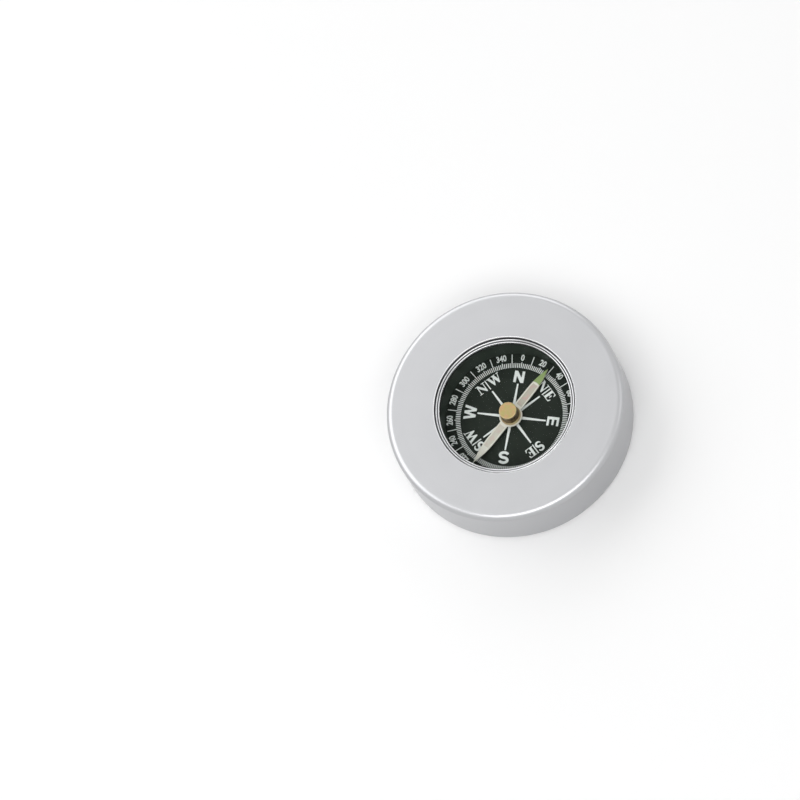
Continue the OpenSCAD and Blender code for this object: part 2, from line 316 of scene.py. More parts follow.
def turned_piece(name, finish, body, slot, node, segments, corners, closed=False, **rounding):
    """Piece turned about Z from the rounded corners of its half section, in place of a CAD node."""
    points, faces = lathe(rounded(corners, closed, **rounding), closed, segments)
    return piece(name, make_mesh(name, points, faces), finish, body, slot, node)


def dress(node, finish):
    """Gives a CAD node its material."""
    NODES[node].data.materials.clear()
    NODES[node].data.materials.append(finish.material)


def scaled(colour, factor):
    """A colour made lighter or darker by a factor."""
    return tuple(min(1.0, channel * factor) for channel in colour)


def maths(operation, reflected=False):
    """A method of a wire that adds a Math node, with the wire as its last value where it is reflected."""
    def method(self, *others):
        values = (*others, self) if reflected else (self, *others)
        return self.board.wire("ShaderNodeMath", {"operation": operation}, dict(enumerate(values)))
    return method


class Wire:
    """A number on its way through a shader: Python's operators add its Math nodes."""
    __add__ = maths("ADD")
    __radd__ = maths("ADD", reflected=True)
    __sub__ = maths("SUBTRACT")
    __rsub__ = maths("SUBTRACT", reflected=True)
    __mul__ = maths("MULTIPLY")
    __rmul__ = maths("MULTIPLY", reflected=True)
    __truediv__ = maths("DIVIDE")
    largest = maths("MAXIMUM")
    root = maths("SQRT")
    size = maths("ABSOLUTE")

    def __init__(self, board, socket):
        self.board = board
        self.socket = socket

    def between(self, low, high):
        """0 below low, 1 above high and a smooth step between them."""
        return self.board.wire("ShaderNodeMapRange", {"interpolation_type": "SMOOTHSTEP"},
                               {"Value": self, "From Min": low, "From Max": high})


class Board:
    """The nodes of a material or of the sky."""

    def __init__(self, tree):
        self.tree = tree

    def node(self, kind, settings=None, values=None):
        """Adds a node, sets its settings first and then the values or links of its sockets."""
        made = self.tree.nodes.new(kind)
        for key, value in (settings or {}).items():
            setattr(made, key, value)
        for key, value in (values or {}).items():
            self.feed(made.inputs[key], value)
        return made

    def wire(self, kind, settings=None, values=None, output=0):
        """Adds a node and gives one of its outputs as a wire."""
        return Wire(self, self.node(kind, settings, values).outputs[output])

    def feed(self, socket, value):
        """Links a wire or a socket to a socket, or sets the socket's own value."""
        source = value.socket if isinstance(value, Wire) else value
        if isinstance(source, bpy.types.NodeSocket):
            self.tree.links.new(source, socket)
        elif hasattr(socket.default_value, "__len__") and len(socket.default_value) == 4:
            socket.default_value = (*value, 1.0)
        else:
            socket.default_value = value

    def ray(self, *kinds):
        """1 for the rays of these kinds, 0 for the others."""
        path = self.node("ShaderNodeLightPath")
        first, *rest = [Wire(self, path.outputs[f"Is {kind} Ray"]) for kind in kinds]
        for wire in rest:
            first = first.largest(wire)
        return first

    def seen(self):
        """1 for the rays that show a surface itself, directly or in metal or glass."""
        return self.ray("Camera", "Glossy", "Transmission")


class Finish(Board):
    """One material: its Principled shader and the patterns that the finishes share."""

    def __init__(self, name, colour, roughness=0.5, metallic=0.0, **fixed):
        self.material = bpy.data.materials.new(name)
        self.material.use_nodes = True
        super().__init__(self.material.node_tree)
        self.shader = self.tree.nodes["Principled BSDF"]
        self.output = self.tree.nodes["Material Output"]
        self.position = self.node("ShaderNodeTexCoord").outputs["Object"]
        self.colour = colour
        fixed.update(Base_Color=colour, Roughness=roughness, Metallic=metallic)
        for socket, value in fixed.items():
            self.drive(socket.replace("_", " "), value)

    def drive(self, socket, value):
        """Feeds a socket of the shader."""
        self.feed(self.shader.inputs[socket], value)

    def axes(self):
        """X, Y and Z of the position in metres, as wires."""
        split = self.node("ShaderNodeSeparateXYZ", values={"Vector": self.position})
        return [Wire(self, split.outputs[i]) for i in range(3)]

    def radius(self):
        """Distance from the axis of the compass."""
        x, y, _ = self.axes()
        return (x * x + y * y).root()

    def noise(self, grain, detail=2.0, where=None, stretch=None):
        """Noise whose features measure about one grain, in metres, on a position or a stretched one."""
        spot = self.position if where is None else where
        if stretch is not None:
            spot = self.node("ShaderNodeMapping", {"vector_type": "POINT"},
                             {"Vector": spot, "Scale": stretch}).outputs[0]
        return self.wire("ShaderNodeTexNoise", values={"Vector": spot, "Scale": 1 / grain, "Detail": detail})

    def rings(self, pitch, detail=2.0):
        """Noise that changes only with the radius and the height: the marks of a turning tool."""
        _, _, z = self.axes()
        where = self.node("ShaderNodeCombineXYZ", values={"X": self.radius(), "Y": z}).outputs[0]
        return self.noise(pitch, detail, where=where)

    def attribute(self, name):
        """A number stored on the mesh."""
        return self.wire("ShaderNodeAttribute", {"attribute_name": name, "attribute_type": "GEOMETRY"},
                         output="Fac")

    def blend(self, mask, first, second):
        """A colour between two colours."""
        return self.node("ShaderNodeMix", {"data_type": "RGBA"}, {0: mask, 6: first, 7: second}).outputs[2]

    def wear(self, *coats, rough=None, relief=None):
        """Lays coats over the material's colour, one after the other, and feeds its roughness and its relief.

        A coat is a mask and a colour. A relief is a height from 0 to 1, the depth in metres that it stands
        for, and its strength.
        """
        ground = self.colour
        for mask, colour in coats:
            ground = self.blend(mask, ground, colour)
        self.drive("Base Color", ground)
        if rough is not None:
            self.drive("Roughness", rough)
        if relief is not None:
            values = dict(zip(("Height", "Distance", "Strength"), relief))
            self.drive("Normal", self.node("ShaderNodeBump", values=values).outputs[0])
        return self

    def surface(self, mask, first, second):
        """Shows one shader or another by a mask, in place of the Principled one alone."""
        mixed = self.node("ShaderNodeMixShader", values={0: mask, 1: first.outputs[0], 2: second.outputs[0]})
        self.feed(self.output.inputs["Surface"], mixed.outputs[0])
        return self


def satin_aluminium(case):
    """Bead-blasted and anodised aluminium, with a bright cut at the pocket's mouth."""
    skin = Finish("satin_aluminium", case.metal, metallic=case.bare)
    grain = skin.noise(0.09 * MM, 3.0)
    cloud = skin.noise(6 * MM)
    turning = skin.rings(0.35 * MM)
    cut = skin.attribute("bright_cut")
    mottle = 0.35 * cloud + 0.3 * turning + 0.35 * grain
    satin = case.satin + 0.05 * (cloud - 0.5) + 0.06 * (turning - 0.5)
    return skin.wear((mottle, scaled(case.metal, 1.06)), (cut, case.cut_metal),
                     rough=satin * (1 - cut) + case.bright_cut * cut,
                     relief=((0.75 * grain + 0.25 * turning) * (1 - cut), 0.008 * MM, 0.5))


def black_rubber(case):
    """Moulded rubber with a fine stipple and a little dust in it."""
    skin = Finish("black_rubber", case.rubber, Specular_IOR_Level=0.35)
    stipple = skin.noise(0.28 * MM, 3.0)
    cloud = skin.noise(7 * MM, 3.0)
    dust = cloud.between(0.35, 0.8) * (0.5 + 0.5 * stipple)
    return skin.wear((dust, scaled(case.rubber, 2.1)), rough=0.68 + 0.18 * cloud,
                     relief=(stipple, 0.05 * MM, 0.6))


def polished_metal(capsule):
    """Polished and plated bezel, with faint turning marks, rougher in the groove between its beads and
    darkened there by painted shade.
    """
    skin = Finish("polished_bezel", capsule.chrome, metallic=1.0)
    turning = skin.rings(0.05 * MM)
    smear = skin.noise(2.5 * MM)
    start = BEZEL.inner + 2 * capsule.inner_bead
    end = BEZEL.outer - 2 * capsule.outer_bead
    off_middle = (skin.radius() - (start + end) / 2).size() / (end - start)
    # groove: the mask of the painted shade between the beads, which also roughens them there
    groove = 1 - off_middle.between(0.35, 0.75)
    mottle = 0.6 * smear + 0.4 * turning
    return skin.wear((mottle, scaled(capsule.chrome, 0.93)), (groove, capsule.groove_colour),
                     rough=capsule.chrome_gloss * (0.7 + 0.5 * smear + 0.2 * turning) + 0.3 * groove,
                     relief=(turning, 0.0015 * MM, 0.3))


def glossy_black(capsule):
    """Glossy black moulding of the wall, with slight draw lines down it."""
    skin = Finish("glossy_black", (0.042, 0.055, 0.045), Specular_IOR_Level=0.03)
    lines = skin.noise(0.5 * MM, stretch=(1.0, 1.0, 0.05))
    cloud = skin.noise(3 * MM)
    return skin.wear((cloud, (0.056, 0.071, 0.06)), rough=capsule.black_gloss * (0.9 + 0.2 * cloud),
                     relief=(lines, 0.003 * MM, 0.2))


def clear_window(capsule):
    """Clear coated window: its gloss, over what lies behind it, grows from nothing at a square look."""
    skin = Finish("clear_window", (0.95, 0.97, 0.97), 0.02, Alpha=0.1)
    gloss = skin.wire("ShaderNodeFresnel", values={"IOR": capsule.window_index})
    square = ((capsule.window_index - 1) / (capsule.window_index + 1)) ** 2
    clear = skin.node("ShaderNodeBsdfTransparent", values={"Color": (0.99, 1.0, 0.995)})
    mirror = skin.node("ShaderNodeBsdfAnisotropic", values={"Color": (1.0, 1.0, 1.0)})
    skin.feed(mirror.inputs["Roughness"], 0.02 + 0.03 * skin.noise(5 * MM, 3.0))
    return skin.surface((gloss - square) / (1 - square), clear, mirror)


def grained(name, low, high, roughness, grain, detail=2.0, stretch=None, spread=0.0, metallic=0.0, depth=0.0,
            strength=0.4):
    """Finish whose grain blends two colours, adds a spread to the roughness and lifts the surface."""
    skin = Finish(name, low, roughness, metallic)
    pattern = skin.noise(grain, detail, stretch=stretch)
    return skin.wear((pattern, high), rough=roughness + spread * pattern if spread else None,
                     relief=(pattern, depth, strength) if depth else None)


def flat_rubber():
    """Thin black gasket."""
    return grained("gasket_rubber", (0.012, 0.012, 0.012), (0.024, 0.024, 0.024), roughness=0.7,
                   grain=0.12 * MM, depth=0.01 * MM)


def drawn_steel():
    """Drawn sheet of the cup."""
    return grained("drawn_sheet", (0.36, 0.36, 0.38), (0.5, 0.5, 0.52), roughness=0.28, spread=0.16,
                   metallic=1.0, grain=0.3 * MM, detail=3.0, stretch=(1.0, 1.0, 0.08), depth=0.004 * MM)


def tape_adhesive():
    """Double-sided adhesive."""
    return grained("tape_adhesive", (0.62, 0.56, 0.4), (0.76, 0.7, 0.54), roughness=0.6, grain=0.8 * MM,
                   detail=3.0, depth=0.03 * MM, strength=0.5)


def polished_stone():
    """Red polished bearing stone."""
    return grained("polished_stone", (0.34, 0.015, 0.04), (0.48, 0.03, 0.07), roughness=0.08,
                   grain=0.3 * MM)


def ground_steel():
    """Hardened and ground steel of the pivot pin."""
    skin = Finish("ground_steel", (0.46, 0.46, 0.48), metallic=1.0)
    turning = skin.rings(0.03 * MM)
    return skin.wear((turning, (0.56, 0.56, 0.58)), rough=0.15 + 0.12 * turning)


def dial_lacquer(dial):
    """Satin black lacquer on the dial, with a slight orange peel."""
    skin = Finish("dial_lacquer", dial.black, Specular_IOR_Level=0.1)
    cloud = skin.noise(4 * MM)
    return skin.wear((cloud, scaled(dial.black, 1.5)), rough=0.42 + 0.12 * cloud,
                     relief=(skin.noise(0.4 * MM), 0.01 * MM, 0.35))


def printing_ink(dial):
    """White printing ink, a little thinner here and there."""
    skin = Finish("printing_ink", dial.white)
    patch = skin.noise(0.25 * MM, 3.0)
    return skin.wear((patch.between(0.45, 0.75), scaled(dial.white, 0.93)), rough=0.45 + 0.15 * patch,
                     relief=(patch, 0.008 * MM, 0.4))


def cream_lacquer(needle):
    """Cream lacquer on the needle, paler on its south arm, with blushed patches, and paler on its raised
    edge, partly the edge's own colour and partly a painted highlight.
    """
    skin = Finish("cream_lacquer", needle.cream)
    _, _, z = skin.axes()
    bottom = BLADE.high - needle.channel
    edge = z.between(bottom + 0.2 * needle.channel, bottom + 0.9 * needle.channel)
    north = skin.attribute("north")
    patch = skin.noise(1.1 * MM).between(0.45, 0.7) * (0.45 + 0.55 * north)
    grain = skin.noise(0.15 * MM, 3.0)
    return skin.wear(
        (0.35 * (1 - north), needle.pale),
        (0.8 * patch, needle.blush),
        # Paler raised edge: partly its own colour, partly a painted highlight
        (0.85 * edge, needle.pale),
        rough=0.36 + 0.16 * grain,
        relief=(grain, 0.008 * MM, 0.5),
    )


def luminous_paint(needle):
    """Luminous paint, grainy and a little uneven."""
    skin = Finish("luminous_paint", needle.green)
    grain = skin.noise(0.12 * MM, 3.0)
    patch = 0.5 * skin.noise(0.9 * MM) + 0.5 * grain
    return skin.wear((patch, scaled(needle.green, 1.3)), rough=0.5 + 0.2 * grain,
                     relief=(grain, 0.015 * MM, 0.6))


def turned_brass(needle):
    """Turned brass: tool marks, oxidised patches, a pale cap rim and a pale foot that are painted highlights,
    and painted shade with dark reflections in bands down the side.
    """
    skin = Finish("turned_brass", needle.brass)
    _, _, z = skin.axes()
    turning = skin.rings(0.05 * MM, 3.0)
    outer = skin.radius().between(0.5 * MM, 1.5 * MM)
    coppery = skin.noise(0.65 * MM, 3.0).between(0.44, 0.56) * (0.25 + 0.75 * outer)
    greenish = skin.noise(0.8 * MM, stretch=(1.3, 0.8, 1.0)).between(0.48, 0.62)
    # streaks and bands: the pattern of the painted dark reflections down the side, which also mottles the
    # painted highlight on the foot
    streaks = skin.noise(0.5 * MM, stretch=(1.0, 1.0, 0.12)).between(0.38, 0.6)
    bands = 0.6 * streaks + 0.4 * skin.rings(0.3 * MM, 1.0).between(0.42, 0.56)
    under_cap = HUB.high - needle.cap_height
    blur = 0.02 * MM
    side = 1 - z.between(under_cap - blur, under_cap + blur)
    # Painted highlight round the rim of the cap, on its rounded edge
    highlight_from, highlight_to = needle.cap_radius - 0.22 * MM, needle.cap_radius - 0.08 * MM
    rim = skin.radius().between(highlight_from, highlight_to) * (1 - side)
    # Painted highlight on the foot: a paler and less metallic brass on its slope, standing in for the light
    # that falls there
    waist = BLADE.high + needle.foot_height + needle.foot_slope
    foot = 1 - z.between(waist - 0.5 * needle.foot_slope, waist)
    skin.drive("Metallic", 1 - 0.7 * foot)
    return skin.wear(
        (0.6 * turning, scaled(needle.brass, 0.7)),
        (0.7 * coppery, needle.copper),
        (0.5 * greenish, needle.olive),
        (0.6 * rim, needle.bright_brass),
        # Painted shade over the side under the cap, with painted dark reflections in its bands
        (side * (0.35 + 0.65 * bands) * (1 - foot), needle.tarnish),
        (foot * (0.7 - 0.4 * bands), needle.bright_brass),
        rough=0.28 + 0.12 * turning + 0.1 * coppery,
        relief=(turning, 0.006 * MM, 0.5),
    )


def floor_finish(stage):
    """Pale floor: it glows a little where it is seen, casts no shadow and is clear from below."""
    skin = Finish("pale_floor", (0.9, 0.9, 0.9), 1.0, Specular_IOR_Level=0.0, Emission_Strength=1.0)
    skin.drive("Emission Color", skin.blend(skin.seen(), (0.0, 0.0, 0.0), [stage.floor_glow] * 3))
    back = skin.wire("ShaderNodeNewGeometry", output="Backfacing")
    clear = skin.node("ShaderNodeBsdfTransparent", values={"Color": (1.0, 1.0, 1.0)})
    return skin.surface(back.largest(skin.ray("Shadow")), skin.shader, clear)


def case_profile(case):
    """Half section of the case, from the middle of its back round to the middle of the pocket's floor."""
    recess = DISC.outer + case.disc_gap
    pocket = BEZEL.outer + case.pocket_gap
    cut = pocket + case.mouth_chamfer
    broken = case.edge_break
    return [
        (0, DISC.high, 0),
        (recess, DISC.high, broken),
        (recess, CASE.low, broken),
        (CASE.outer, CASE.low, case.back_round),
        (CASE.outer, CASE.high, case.face_round),
        (cut, CASE.high, broken),
        (pocket, CASE.high - case.mouth_chamfer, broken),
        (pocket, ADHESIVE.low, broken),
        (0, ADHESIVE.low, 0),
    ]


def bezel_profile(capsule):
    """Half section of the bezel: outer skirt, outer bead, groove, inner bead and lip."""
    seat = WINDOW.high
    outer_mid = BEZEL.outer - capsule.outer_bead
    inner_mid = BEZEL.inner + capsule.inner_bead
    inner_top = BEZEL.high - capsule.bead_step
    groove = seat + capsule.lip
    shade = 0.04 * MM
    return [
        (BEZEL.outer - capsule.skirt, BEZEL.low, shade),
        (BEZEL.outer, BEZEL.low, shade),
        (BEZEL.outer, BEZEL.high, capsule.outer_bead),
        (outer_mid - capsule.outer_bead, BEZEL.high, capsule.outer_bead),
        (outer_mid - capsule.outer_bead, groove, shade),
        (inner_mid + capsule.inner_bead, groove, shade),
        (inner_mid + capsule.inner_bead, inner_top, capsule.inner_bead),
        (BEZEL.inner, inner_top, capsule.inner_bead),
        (BEZEL.inner, seat, shade),
        (BEZEL.outer - capsule.skirt, seat, 0),
    ]


def ring_profile(size, edge):
    """Square section of a plain ring, with its corners broken."""
    return [
        (size.inner, size.low, edge),
        (size.outer, size.low, edge),
        (size.outer, size.high, edge),
        (size.inner, size.high, edge),
    ]


def hub_profile(needle):
    """Half section of the hub: collar, shank, flared foot, turned body, groove, cap and the bore in it."""
    fine = 0.03 * MM
    foot_round = 0.1 * MM
    waist_round = 0.15 * MM
    cap_round = 0.14 * MM
    jewel_gap = 0.02 * MM
    bore = JEWEL.outer + jewel_gap
    collar = HUB.low + needle.collar_height
    waist = BLADE.high + needle.foot_height + needle.foot_slope
    under_cap = HUB.high - needle.cap_height
    return [
        (0, JEWEL.high, 0),
        (bore, JEWEL.high, fine),
        (bore, HUB.low, fine),
        (needle.collar_radius, HUB.low, fine),
        (needle.collar_radius, collar, fine),
        (needle.shank_radius, collar, 0),
        (needle.shank_radius, BLADE.high, 0),
        (HUB.outer, BLADE.high, fine),
        (HUB.outer, BLADE.high + needle.foot_height, foot_round),
        (needle.body_radius, waist, waist_round),
        (needle.body_radius, under_cap - needle.groove_height, fine),
        (needle.groove_radius, under_cap - needle.groove_height, fine),
        (needle.groove_radius, under_cap, fine),
        (needle.cap_radius, under_cap, fine),
        (needle.cap_radius, HUB.high, cap_round),
        (0, HUB.high, 0),
    ]


def half_width(y, needle):
    """Half the width of the needle at a distance y along it, in metres.

    An arm keeps its width up to its bend; past it the width falls by the share of the way to the tip,
    raised to the taper's power. The round eye is joined to it by a smooth maximum.
    """
    reach = BLADE.outer
    bend = reach * needle.parallel_share
    way = np.clip((np.abs(y) - bend) / (reach - bend), 0, 1)
    arm = needle.arm_width / 2 * (1 - way ** needle.taper_power)
    eye = np.sqrt(np.clip(needle.eye_radius ** 2 - y ** 2, 0, None))
    soft = 0.12 * MM
    both = np.maximum(arm, eye)
    blend = np.clip(soft - np.abs(arm - eye), 0, None) / soft
    return both + np.where(np.abs(y) < needle.eye_radius, blend ** 2 * soft / 4, 0)


def needle_stations(needle):
    """Places along the needle: closer together at the tips, the eye's ends and the bore's ends."""
    reach = BLADE.outer
    eye_start = needle.eye_radius - 0.25 * MM
    eye_end = needle.eye_radius + 0.2 * MM
    knots = np.array([0, needle.bore_radius, eye_start, eye_end, reach * needle.parallel_share, reach])
    counts = [14, 18, 10, 14, 40]
    side = [0.0]
    for start, end, count in zip(knots[:-1], knots[1:], counts):
        t = (1 - np.cos(np.linspace(0, math.pi, count + 1)[1:])) / 2
        side += list(start + (end - start) * t)
    side = np.array(side)
    return np.concatenate([-side[:0:-1], side])


def needle_mesh(needle):
    """Stamped needle, lying along Y with its north arm at +Y.

    At each place y, half a section runs from the bore, or from the middle line, to the outline. The top
    follows the distance d from the outline: it rolls down over the edge's radius, stays level over the rim
    and falls to the channel by a smooth step. The bottom is flat, with the same rolled edge. At both ends the
    section closes to an upright line.
    """
    y = needle_stations(needle)
    wide = np.maximum(half_width(y, needle), NARROWEST)
    wide[[0, -1]] = 0
    bore = np.sqrt(np.clip(needle.bore_radius ** 2 - y ** 2, 0, None))
    slope = np.abs(np.gradient(wide, y))
    steepest = 3.0
    lean = 1 / np.sqrt(1 + np.minimum(slope, steepest) ** 2)
    across_shares = np.array([0, 0.12, 0.25, 0.36, 0.44, 0.5, 0.55, 0.6, 0.64, 0.68, 0.73, 0.8, 0.88, 0.94,
                              0.97, 0.985, 0.995, 1.0])
    x = bore[:, None] + (wide - bore)[:, None] * across_shares[None, :]
    d = (wide[:, None] - x) * lean[:, None]
    edge = np.minimum(needle.edge_round, wide * 0.5)[:, None]
    roll = edge - np.sqrt(np.clip(edge ** 2 - np.clip(edge - d, 0, edge) ** 2, 0, None))
    start = needle.eye_radius + needle.rim
    stop = BLADE.outer - needle.paint_length - needle.channel_stop
    step = 0.12 * MM
    inside = np.clip((d - needle.rim) / step, 0, 1)
    along = np.clip((np.abs(y) - start) / step, 0, 1) * np.clip((stop - np.abs(y)) / step, 0, 1)
    channel = needle.channel * inside ** 2 * (3 - 2 * inside) * (along ** 2 * (3 - 2 * along))[:, None]
    top = BLADE.high - roll - channel
    low = BLADE.low + roll
    rows, columns = x.shape
    loop_x = np.concatenate([x, x[:, ::-1]], 1)
    loop_z = np.concatenate([top, low[:, ::-1]], 1)
    loop_y = np.repeat(y[:, None], 2 * columns, 1)
    right = np.stack([loop_x, loop_y, loop_z], -1).reshape(-1, 3)
    faces = grid_faces(rows, 2 * columns, wrap_columns=True)
    place = faces % (2 * columns)
    open_middle = (place == 0).any(1) & (place == 2 * columns - 1).any(1)
    in_bore = np.abs(right[faces][:, :, 1]).max(1) <= needle.bore_radius + MERGE
    faces = faces[~open_middle | in_bore]
    left = right * np.array([-1, 1, 1])
    points = np.concatenate([right, left])
    return points, np.concatenate([faces, faces[:, ::-1] + len(right)])


def paint_mesh(needle):
    """Layer of paint on the north tip, within a margin of the needle's outline.

    Its height falls from the middle to a thin brim as 1 - u^8, where u runs from -1 to 1 across the needle,
    and rises from the inner end as a square root. That end is a shallow wave.
    """
    reach = BLADE.outer
    start = reach - needle.paint_length
    wave_depth = 0.1 * MM
    wave_turn = 2.2
    margin = 0.02 * MM
    lift = 0.001 * MM
    brim_share = 0.06
    run_share = 1 / 18
    t = np.linspace(0, 1, 49)
    u = np.linspace(-1, 1, 33)
    wave = wave_depth * np.cos(wave_turn * u) * (1 - t[:, None]) ** 2
    y = start + needle.paint_length * t[:, None] + wave - wave_depth * (1 - t[:, None]) ** 2
    y = np.minimum(y, reach)
    wide = np.maximum(half_width(y, needle) - margin, NARROWEST)
    x = wide * u[None, :]
    crown = np.clip(1 - u[None, :] ** 8, 0, 1) * np.clip(t[:, None] / run_share, 0, 1) ** 0.5
    high = PAINT.low + (PAINT.high - PAINT.low) * (brim_share + (1 - brim_share) * crown)
    low = np.full_like(high, PAINT.low + lift)
    top = np.stack([x, y, high], -1).reshape(-1, 3)
    base = np.stack([x, y, low], -1).reshape(-1, 3)
    faces = grid_faces(len(t), len(u))
    count = len(top)
    index = np.arange(count).reshape(len(t), len(u))
    border = np.concatenate([index[0, :-1], index[:-1, -1], index[-1, :0:-1], index[:0:-1, 0]])
    nearby = np.roll(border, -1)
    walls = np.stack([border, nearby, nearby + count, border + count], -1)
    return np.concatenate([top, base]), np.concatenate([faces, faces[:, ::-1] + count, walls[:, ::-1]])


# Corners of the letters, each across and up, in hundredths of their height
SANS_SHARES = {
    "N": [(0, 0), (22, 0), (22, 60), (60, 0), (86, 0), (86, 100), (64, 100), (64, 40), (26, 100), (0, 100)],
    "E": [(0, 0), (78, 0), (78, 19), (23, 19), (23, 41), (70, 41), (70, 59), (23, 59), (23, 81), (76, 81),
          (76, 100), (0, 100)],
    "W": [(25, 0), (47, 0), (62.5, 66), (78, 0), (100, 0), (125, 100), (102, 100), (88, 34), (73.5, 100),
          (51.5, 100), (37, 34), (23, 100), (0, 100)],
}
SERIF_SHARES = {
    "N": [(0, 0), (37, 0), (37, 6), (23, 6), (23, 72), (78, 0), (90, 0), (90, 94), (104, 94), (104, 100),
          (67, 100), (67, 94), (81, 94), (81, 32), (31, 100), (0, 100), (0, 94), (14, 94), (14, 6), (0, 6)],
    "E": [(0, 0), (78, 0), (85, 31), (78, 31), (66, 7), (36, 7), (36, 46), (50, 46), (54, 33), (60, 33),
          (60, 67), (54, 67), (50, 54), (36, 54), (36, 93), (62, 93), (73, 71), (80, 71), (76, 100),
          (0, 100), (0, 94), (11, 94), (11, 6), (0, 6)],
    "W": [(41, 0), (51, 0), (72, 60), (93, 0), (103, 0), (131, 94), (142, 94), (142, 100), (110, 100),
          (110, 94), (122, 94), (107, 38), (89, 94), (99, 94), (99, 100), (55, 100), (55, 94), (62, 94),
          (66, 82), (54, 37), (35, 94), (45, 94), (45, 100), (0, 100), (0, 94), (10, 94)],
}


def letter_s(width, thin, thick, gap):
    """Outline of an S of unit height.

    Its middle line runs over the left of an upper ellipse and then over the right of a lower one, and its
    stroke swells from thin at the ends to thick where the two meet.
    """
    rise = (1 - thin) / 4
    run = (width - thick) / 2
    upper = np.radians(np.linspace(gap, 270, 26))
    lower = np.radians(np.linspace(90, gap - 180, 26))[1:]
    x = np.concatenate([run * np.cos(upper), run * np.cos(lower)])
    y = np.concatenate([0.5 + rise + rise * np.sin(upper), 0.5 - rise + rise * np.sin(lower)])
    t = np.linspace(-1, 1, len(x))
    stroke = thin + (thick - thin) * np.cos(t * math.pi / 2) ** 0.7
    step = np.stack([np.gradient(x), np.gradient(y)], -1)
    step /= np.linalg.norm(step, axis=1)[:, None]
    side = np.stack([-step[:, 1], step[:, 0]], -1) * stroke[:, None] / 2
    middle = np.stack([x + width / 2, y], -1)
    return np.concatenate([middle + side, (middle - side)[::-1]])


def plate(outline, low, high):
    """Flat plate of an outline: its two faces and the wall round it."""
    outline = np.asarray(outline, float)
    turn = np.sum(outline[:, 0] * np.roll(outline[:, 1], -1) - outline[:, 1] * np.roll(outline[:, 0], -1))
    if turn < 0:
        outline = outline[::-1]
    count = len(outline)
    base = np.column_stack([outline, np.full(count, low)])
    top = np.column_stack([outline, np.full(count, high)])
    i = np.arange(count)
    walls = np.stack([i, (i + 1) % count, (i + 1) % count + count, i + count], -1)
    return np.concatenate([base, top]), [list(i[::-1]), list(i + count)] + walls.tolist()


def joined(parts):
    """One list of points and one of faces, from several."""
    starts = np.cumsum([0] + [len(points) for points, _ in parts])
    faces = [[int(index) + start for index in face]
             for (_, some), start in zip(parts, starts) for face in some]
    return np.concatenate([points for points, _ in parts]), faces


def placed(part, degrees, foot):
    """Carries a part from a letter's own plane to the dial, its foot at a distance and its top outwards.

    The point (x, y) goes to (x cos b + (y + foot) sin b, (y + foot) cos b - x sin b) at the bearing b.
    """
    (x, y, z), faces = part[0].T, part[1]
    c, s = math.cos(math.radians(degrees)), math.sin(math.radians(degrees))
    return np.stack([x * c + (y + foot) * s, (y + foot) * c - x * s, z], -1), faces


def letter_outline(letter, serif, height):
    """Outline of a printed letter of a height, with its corners a little rounded."""
    if letter == "S":
        shape = letter_s(0.74, 0.07, 0.24, 12) if serif else letter_s(0.84, 0.2, 0.215, 22)
        return shape * height
    shares, rounding_share = (SERIF_SHARES, 0.012) if serif else (SANS_SHARES, 0.03)
    corners = np.array(shares[letter]) / 100 * height
    radii = np.full(len(corners), rounding_share * height)
    return rounded(np.column_stack([corners, radii]), closed=True, steps=3, hold=0)


def main_letters(dial, low, high):
    """N, E, S and W, each with its top outwards."""
    parts = []
    for bearing, letter in zip((0, 90, 180, 270), "NESW"):
        outline = letter_outline(letter, False, dial.letter_height * (dial.tall_s if letter == "S" else 1))
        outline = outline - [(outline[:, 0].min() + outline[:, 0].max()) / 2, 0]
        parts.append(placed(plate(outline, low, high), bearing, dial.letter_radius))
    return joined(parts)


def pair_letters(dial, low, high):
    """The diagonal pairs, read clockwise on both sides of their bars."""
    parts = []
    for bearing, pair in zip((45, 135, 225, 315), ("NE", "SE", "SW", "NW")):
        for side, letter in zip((-1, 1), pair):
            outline = letter_outline(letter, True, dial.pair_height)
            near = outline[:, 0].max() if side < 0 else outline[:, 0].min()
            outline = outline - [near - side * dial.pair_gap, 0]
            parts.append(placed(plate(outline, low, high), bearing, dial.pair_radius))
    return joined(parts)


def number_points(text, dial, low, high):
    """Points and faces of a printed number, from the built-in font, narrowed and centred."""
    curve = bpy.data.curves.new("number", "FONT")
    curve.body = text
    curve.resolution_u = 3
    curve.offset = dial.number_weight
    curve.extrude = 0.5
    curve.space_character = 0.98
    holder = bpy.data.objects.new("number", curve)
    bpy.context.scene.collection.objects.link(holder)
    bpy.context.view_layer.update()
    mesh = bpy.data.meshes.new_from_object(holder.evaluated_get(bpy.context.evaluated_depsgraph_get()))
    points = places(mesh)
    faces = [list(polygon.vertices) for polygon in mesh.polygons]
    bpy.data.objects.remove(holder)
    bpy.data.curves.remove(curve)
    bpy.data.meshes.remove(mesh)
    first, last = points.min(0), points.max(0)
    x, y, z = ((points - (first + last) / 2) * (dial.number_height / (last - first)[1])).T
    return np.stack([x * dial.number_narrow, y, np.where(z > 0, high, low)], -1), faces


def degree_numbers(dial, low, high):
    """Numbers of the degree scale, with their tops outwards."""
    return joined([placed(number_points(str(degrees), dial, low, high), degrees, dial.number_radius)
                   for degrees in range(0, 360, dial.number_step)])


